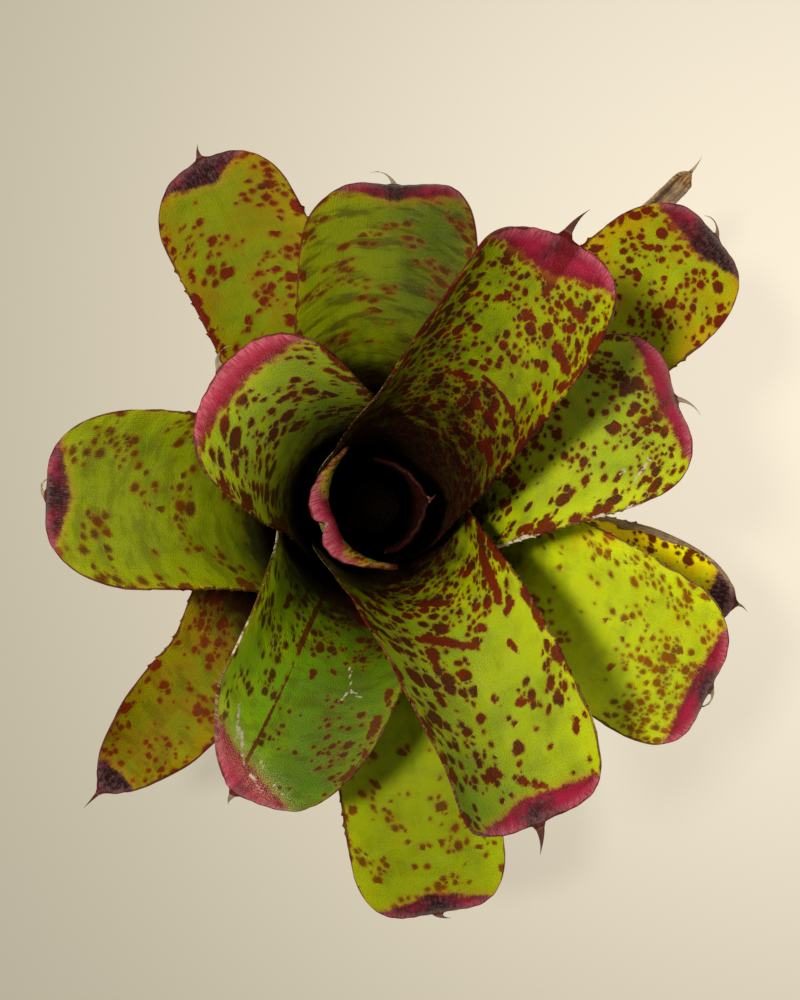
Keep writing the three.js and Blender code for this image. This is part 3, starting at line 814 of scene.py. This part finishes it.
# Round spots in three sizes: mm from one to the next, smallest and largest radius, and how much
# less crowded they are.
SPOT_SIZES = [(2.9, 0.5, 1.35, 0), (1.9, 0.3, 0.85, 0), (1.2, 0.15, 0.42, 0.2)]
PLAIN_TONE = 1.4  # of an under side that doesn't follow the upper one's painted light and shade; kept light, partly its own paler colour and partly painted light against the shade under the leaves


class Skin(Finish):
    """A leaf's skin: what is stored on the leaf, and the noises that its layers share."""

    def __init__(self, name, tone_gain):
        super().__init__(name)
        self.place = self.stored("place")
        self.spot_place = self.stored("spot_place")
        self.marks, self.band, self.margin = self.parts(self.stored("marks"))
        self.dark, self.cup, self.scurf = self.parts(self.stored("shades"))
        self.dry, self.paleness, self.awn = self.parts(self.stored("dryness"))
        self.green, tone, self.bars = self.parts(self.stored("tints"))
        self.tone = tone * tone_gain + (1 - tone_gain) * PLAIN_TONE
        self.cloud = self.clouds(0.28, 3)
        self.fray = self.clouds(1.1, 3, 0.6)
        self.grain = self.streaky(5.5, 2.2, 2, 0.6)
        self.fibres = self.streaky(4.5, 0.22, 2)
        self.streaks = self.streaky(3.2, 0.5, 3, 0.6)

    def clouds(self, scale, detail, roughness=0.5, output=0):
        """Noise of the same scale both ways."""
        return self.noise(self.place, scale, detail, roughness, output)

    def streaky(self, across, along, detail, roughness=0.5):
        """Noise with its own scale across the leaf and along it."""
        return self.noise(self.stretch(self.place, (across, along, 1)), 1, detail, roughness)


def round_spots(skin, place, crowd, cell, smallest, largest):
    """How deep inside a round spot a place lies, in mm: one spot to a cell of cell mm, where the
    crowd, 0 to 1, and chance let it stand."""
    distance, chance, point = skin.cells(place, 1 / cell)
    first, second = skin.parts(chance)[:2]
    room = (skin.noise(point, 0.11, 2) * 2.5 - 1.75 + crowd + (second - 0.5) * 0.7).ramp(0, 0.15)
    radius = first * first * (largest - smallest) + smallest
    return (radius + 1) * room - 1 - distance * cell


def spotting(skin):
    """How deep inside a spot, and inside a mark, a place lies, in mm, with their uneven rims."""
    crowd, strength, sharpness = skin.parts(skin.stored("spots"))
    wander = skin.clouds(0.5, 1, 0.5, 1)
    shaken = skin.vectors("MULTIPLY_ADD", {0: wander, 1: (0.9, 0.9, 0), 2: skin.spot_place})
    inside = None
    for cell, smallest, largest, fewer in SPOT_SIZES:
        here = crowd - fewer if fewer else crowd
        spots = round_spots(skin, shaken, here, cell, smallest, largest)
        inside = inside.at_least(spots) if inside else spots
    crumbs = skin.clouds(2.2, 2, 0.6) * 0.6 - 0.3
    stroke = skin.clouds(0.8, 2, 0.6) * 1.7 - 0.85 + crumbs - skin.marks
    inside = (inside + crumbs) * sharpness
    return inside.at_least(stroke), stroke, strength


def plain_flesh(skin):
    """The green of the leaf, in broad clouds, with brown bars across."""
    broad = skin.clouds(0.07, 2)
    cloud = skin.clouds(0.2, 3)
    hue = skin.green + (broad - 0.5) * 0.7 + (cloud - 0.5) * 0.5
    flesh = skin.mix(hue.ramp(0, 0.3), GOLD, YELLOW_GREEN)
    flesh = skin.mix(hue.ramp(0.2, 1.1), flesh, LEAF_GREEN)
    flesh = skin.mix((cloud * 0.7 + skin.fibres * 0.3).ramp(0.45, 0.7) * 0.35, flesh, OLIVE)
    stripe = skin.noise(skin.stretch(skin.spot_place, (0.16, 0.36, 1)), 1, 4, 0.55)
    flesh = skin.mix(stripe.ramp(0.46, 0.62) * skin.bars * 0.75, flesh, BAR_BROWN)
    # Made lighter or darker by the leaf's tone, which holds painted light and shade, and at random in
    # clouds.
    return skin.shade(flesh, skin.tone * (0.74 + broad * 0.34 + cloud * 0.18))


def with_spots(skin, flesh, inside, stroke, strength):
    """Spots of dark red with a narrow brown rim, purple where the leaf is greener."""
    flesh = skin.mix(inside.ramp(-0.5, 0.1) * strength * 0.45, flesh, HALO)
    # Purple where the leaf is greener; as the painted shade side is made greener, that purple is
    # partly painted shade.
    red = skin.mix((skin.cloud + skin.green * 0.5).ramp(0.6, 0.9), SPOT_RED, SPOT_PURPLE)
    red = skin.mix(stroke.ramp(-0.3, 0.2) * (1 - skin.green * 0.7), red, STROKE_RED)
    # How light the red is, per leaf: partly the spots' own shade, partly painted light.
    red = skin.shade(red, skin.parts(skin.stored("spot_tone"))[0])
    near_edge = (1.7 - skin.margin + (skin.cloud - 0.5) * 2).ramp(0, 1.4)
    flesh = skin.mix(near_edge * 0.13, flesh, AMBER)
    return skin.mix(inside.ramp(-0.2, 0.2) * strength * 0.95, flesh, red)


def with_end(skin, flesh, stroke):
    """The coloured end: crimson where it meets the green, pink towards the rim, black with age."""
    cloud, streaks = skin.cloud - 0.5, skin.streaks
    reach = skin.band + (skin.fray - 0.5) * 1.6 + cloud * 2.6 + (skin.fibres - 0.5) * 1.4
    flesh = skin.mix(reach.ramp(-2, 0.3) * 0.35, flesh, PEACH)
    rim = (3 - skin.margin).ramp(0, 2.8)
    ending = skin.mix((2.6 - reach + cloud * 6).ramp(0, 2.6) * 0.8, MAGENTA, CRIMSON)
    ending = skin.mix(rim * streaks.ramp(0.3, 0.7) * 0.75, ending, PINK)
    # Grey streaks over the black end, more towards the rim: partly silver down, partly painted sheen.
    grey_down_and_sheen = (streaks * 0.6 + skin.fray * 0.4 + rim * 0.12).ramp(0.44, 0.7)
    black = skin.mix(grey_down_and_sheen * 0.75, TIP_BLACK, TIP_GREY)
    age = skin.dark + cloud * 1.1 + (streaks - 0.5) * 0.7
    ending = skin.mix(age.ramp(0.25, 1), ending, black)
    ending = skin.mix(stroke.ramp(-0.2, 0.3) * 0.8, ending, CRIMSON)
    # The end is made darker with the leaf's tone, so it carries the same painted light and shade.
    ending = skin.shade(ending, skin.tone * 0.55 + 0.45)
    return skin.mix(reach.ramp(-0.6, 0.6), flesh, ending)


def with_sheath(skin, flesh, sheath_colour_and_shade, sheath_gain):
    """The red line of the margin, and over it the sheath's colour: on the upper side the dark of the
    cup, partly the leaf bases' own dark red and partly painted shade of the deep cup.
    """
    line = (0.4 - skin.margin + (skin.cloud - 0.5) * 1.6).ramp(0, 0.3)
    flesh = skin.mix(line * 0.85, flesh, MARGIN_RED)
    sheath = (skin.cup * 1.3 + (skin.cloud - 0.5) * 0.9).ramp(0.1, 1) * sheath_gain
    return skin.mix(sheath, flesh, sheath_colour_and_shade)


def with_dry_parts(skin, flesh):
    """Dried margins, scratches and end spines."""
    paper = skin.mix(skin.fibres.ramp(0.35, 0.65), BROWN, STRAW)
    paper = skin.mix(skin.clouds(0.35, 3).ramp(0.42, 0.6) * 0.75, paper, STAIN)
    paper = skin.mix(skin.paleness, paper, PAPER_WHITE)
    paper = skin.mix(skin.awn * 0.95, paper, AWN_RED)
    return skin.mix((skin.dry + (skin.fray - 0.5) * 1.2).ramp(0.42, 0.7), flesh, paper)


def silver_down(skin, scale_rows, scurf_gain, banding):
    """How much silver down lies in fine flecks, thicker in clouds and in bands across."""
    flecks = scale_rows.ramp(0.45, 0.12) * 0.9 + skin.grain.ramp(0.5, 0.7) * 0.3
    bands = skin.streaky(0.05, 0.3, 2).ramp(0.4, 0.6) * banding
    return flecks * (skin.scurf * scurf_gain + bands + (skin.cloud - 0.5) * 0.6).ramp(0.05, 1.3)


def skin_finish(name, sheath_colour_and_shade, sheath_gain, scurf_gain, banding, tone_gain):
    """The skin of one side of the leaves. The gains are how much it takes on of the sheath's colour,
    which on the upper side is the cup's own dark red with painted shade, of the leaf's down, and of
    the leaf's tone with its painted light and shade; the banding is how much down lies in bands."""
    skin = Skin(name, tone_gain)
    inside, stroke, strength = spotting(skin)
    scale_rows = skin.cells(skin.stretch(skin.place, (3.3, 2.8, 0)), 1, 0.85)[0]
    down = silver_down(skin, scale_rows, scurf_gain, banding)
    flesh = with_spots(skin, plain_flesh(skin), inside, stroke, strength)
    flesh = with_end(skin, flesh, stroke)
    flesh = with_sheath(skin, flesh, sheath_colour_and_shade, sheath_gain)
    flesh = with_dry_parts(skin, flesh)
    flesh = skin.mix(down * (1 - inside.ramp(-0.2, 0.3) * 0.75) * 0.6, flesh, SILVER)
    relief = skin.fibres * 0.4 + skin.grain * 0.4 - scale_rows * 0.5 + inside.ramp(-0.3, 0.3) * 0.25
    return skin.close(
        flesh, 0.42 + down * 0.3 + skin.dry * 0.3, relief, 0.0002,
        Subsurface_Weight=0.12,
        Subsurface_Radius=(1.0, 0.9, 0.1),
        Subsurface_Scale=0.0015,
        Specular_IOR_Level=0.14,
        Specular_Tint=(1, 0.95, 0.5, 1),
    )


# ---- the stem

STEM_SIDES = 96
RING_STEP = 0.4  # mm between its rings
FIBRE_DEPTH, PIT_DEPTH = 0.28, 0.3  # mm that they are pressed into the bark
BARK_DARK = tint(84, 58, 38)
BARK_BROWN = tint(146, 110, 72)
SCAR_PALE = tint(168, 138, 98)
PITH = tint(206, 190, 150)


def stem_rings():
    """Heights and radii of the stem's rings, from its foot to its growing point."""
    rings = [STEM_OUTLINE[0]]
    for (z0, r0), (z1, r1) in zip(STEM_OUTLINE, STEM_OUTLINE[1:]):
        cuts = max(1, round((z1 - z0) / RING_STEP))
        rings += [(lerp(z0, z1, k / cuts), lerp(r0, r1, k / cuts)) for k in range(1, cuts + 1)]
    return rings + [STEM_TIP]


def draw_stem(rings):
    """The stem's foot as a disc, drawn up ring by ring and narrowed at each."""
    bpy.ops.mesh.primitive_circle_add(vertices=STEM_SIDES, radius=rings[0][1] * MM, fill_type="NGON")
    stem = bpy.context.object
    stem.name = stem.data.name = "bark"
    bpy.ops.object.mode_set(mode="EDIT")
    bpy.ops.mesh.select_all(action="SELECT")
    for (z0, r0), (z1, r1) in zip(rings, rings[1:]):
        bpy.ops.mesh.extrude_region_move(TRANSFORM_OT_translate={"value": (0, 0, (z1 - z0) * MM)})
        bpy.ops.transform.resize(value=(r1 / r0, r1 / r0, 1), center_override=(0, 0, z1 * MM))
    bpy.ops.mesh.select_all(action="SELECT")
    bpy.ops.mesh.normals_make_consistent(inside=False)
    bpy.ops.object.mode_set(mode="OBJECT")
    return stem


def roughen_bark(stem):
    """Upright fibres and pits, pressed into the bark."""
    points = read_points(stem.data) / MM
    x, y, height = points.T
    radius = np.hypot(x, y)
    fibres = wobble(9 * x / radius + 0.05 * height, 9 * y / radius + 0.05 * height, 1)
    pits = wobble(5 * x / radius + 0.6 * height, 5 * y / radius - 0.6 * height, 2)
    inward = FIBRE_DEPTH * np.abs(fibres) + PIT_DEPTH * np.abs(pits)
    share = (radius - inward * smooth(radius / 3)) / radius
    points[:, :2] *= share[:, None]
    write_points(stem.data, points * MM)


def bark_finish():
    """Brown fibrous bark, with pale leaf scars round its lower part."""
    bark = Finish("bark_fibre")
    at = bark.in_mm()
    fibres = bark.noise(bark.stretch(at, (2.6, 2.6, 0.25)), 1, 4, 0.6)
    patches = bark.noise(at, 0.3, 3)
    height = bark.parts(at)[2]
    scars = bark.node("Math", {"operation": "PINGPONG"}, {0: height - 0.2, 1: 1.1})
    brown = bark.mix(fibres.ramp(0.35, 0.62), BARK_DARK, BARK_BROWN)
    low = 1 - height.ramp(6, 8)
    brown = bark.mix(scars.ramp(0.7, 1.1) * patches.ramp(0.4, 0.6) * low * 0.7, brown, SCAR_PALE)
    return bark.close(brown, 0.8 + patches * 0.15, fibres, 0.0006, Specular_IOR_Level=0.2)


def cut_finish():
    """The cut through the foot: pale pith dotted with strands, under a brown rind."""
    cut = Finish("cut_foot")
    at = cut.in_mm((1000, 1000, 0))
    strands = cut.cells(at, 0.9)[0]
    cloud = cut.noise(at, 0.5, 3)
    pith = cut.mix(strands.ramp(0.32, 0.18) * 0.7, PITH, BARK_BROWN)
    pith = cut.mix(cloud.ramp(0.45, 0.7) * 0.4, pith, STRAW)
    rind = (cut.vectors("LENGTH", {0: at}, 1) + (cloud - 0.5) * 2).ramp(10.4, 12)
    return cut.close(cut.mix(rind, pith, BARK_DARK), 0.7 + rind * 0.2, strands, 0.0002)


def build_stem():
    """The stem, its bark on the sides and the cut under its foot."""
    stem = draw_stem(stem_rings())
    roughen_bark(stem)
    stem.data.materials.append(bark_finish())
    stem.data.materials.append(cut_finish())
    for face in stem.data.polygons:
        face.material_index = int(face.normal.z < -0.9 and face.center.z < 0.1 * MM)
    bpy.ops.object.shade_smooth_by_angle(angle=math.radians(40))
    return stem


# ---- putting it together

bpy.ops.object.select_all(action="DESELECT")

# The upper skin's cups go nearly black: partly the leaf bases' own dark red, partly painted shade of
# the deep cup.
upper_skin = skin_finish("upper_skin", CUP_RED_AND_PAINTED_SHADE, 0.97, 1, 0, 1)
under_skin = skin_finish("under_skin", SHEATH_PALE, 0.6, 1.2, 0.9, 0.4)

for order in range(len(LEAVES)):
    bpy.ops.object.select_all(action="DESELECT")
    leaf = build_leaf(order, upper_skin, under_skin)
    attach(leaf, "root")
    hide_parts(f"leaf_{order + 1:02d}")

bpy.ops.object.select_all(action="DESELECT")
bark = build_stem()
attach(bark, "root")
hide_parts("stem")

# ---- floor, light and camera

HEART = Vector((0, 0, 0.07))  # what the lights face
GLOW_CENTRE = (0.12, 0.035, 0)  # centre of the painted pool of light on the floor, where it glows brightest
GLOW_REACH = 0.3
WARM_WHITE = (1, 0.97, 0.9)
WALL = tint(162, 155, 135)
FLOOR_BASE = tint(100, 97, 88)
FLOOR_PAINTED_LIGHT_NEAR = tint(238, 226, 205)
FLOOR_PAINTED_LIGHT_FAR = tint(156, 149, 129)


def floor_finish():
    """A pale board that glows with a painted pool of light, brightest round GLOW_CENTRE, which also
    fills in the plant's shadow on it.
    """
    board = Finish("floor_board")
    distance = board.vectors("DISTANCE", {0: board.place_in_object(), 1: GLOW_CENTRE}, 1)
    glow = board.mix(distance.ramp(0, GLOW_REACH), FLOOR_PAINTED_LIGHT_NEAR, FLOOR_PAINTED_LIGHT_FAR)
    # Its emission is painted light: a glow that brightens the board round GLOW_CENTRE and fills in the
    # plant's shadow.
    return board.close(FLOOR_BASE, 0.9, 0.5, 0.0001, Emission_Color=glow, Emission_Strength=1.0)


def area_light(name, azimuth, elevation, distance, size, power, colour):
    """A square soft light that faces the heart of the rosette. Its angles are in degrees."""
    azimuth, elevation = math.radians(azimuth), math.radians(elevation)
    level = math.cos(elevation)
    way = Vector((level * math.cos(azimuth), level * math.sin(azimuth), math.sin(elevation)))
    bpy.ops.object.light_add(type="AREA", location=HEART + way * distance)
    lamp = bpy.context.object
    lamp.name = name
    lamp.data.size = size
    lamp.data.energy = power
    lamp.data.color = colour
    lamp.rotation_euler = way.to_track_quat("Z", "Y").to_euler()


def studio_room():
    """Faint light from all round, and a plain wall behind the floor's edge."""
    world = bpy.data.worlds.new("studio")
    world.use_nodes = True
    studio = world.node_tree
    room_light = studio.nodes["Background"]
    room_light.inputs["Color"].default_value = (*WARM_WHITE, 1)
    room_light.inputs["Strength"].default_value = 0.13
    wall = studio.nodes.new("ShaderNodeBackground")
    wall.inputs["Color"].default_value = WALL
    rays = studio.nodes.new("ShaderNodeLightPath")
    seen = studio.nodes.new("ShaderNodeMixShader")
    link = studio.links.new
    link(rays.outputs["Is Camera Ray"], seen.inputs[0])
    link(room_light.outputs[0], seen.inputs[1])
    link(wall.outputs[0], seen.inputs[2])
    link(seen.outputs[0], studio.nodes["World Output"].inputs["Surface"])
    return world


bpy.ops.object.select_all(action="DESELECT")
bpy.ops.mesh.primitive_plane_add(size=16)
floor = bpy.context.object
floor.name = "floor"
floor.data.materials.append(floor_finish())

area_light("key", 166, 68, 1.5, 0.2, 19, (1, 0.97, 0.89))
area_light("fill", 0, 32, 0.75, 0.5, 0.9, WARM_WHITE)
bpy.context.scene.world = studio_room()
bpy.context.scene.view_settings.view_transform = "Standard"

bpy.ops.object.camera_add(location=(0.0054, 0.0014, 0.385))
camera = bpy.context.object
camera.name = "camera"
camera.data.sensor_width = 36
camera.data.lens = 58.32
camera.data.clip_start = 0.01
bpy.context.scene.camera = camera
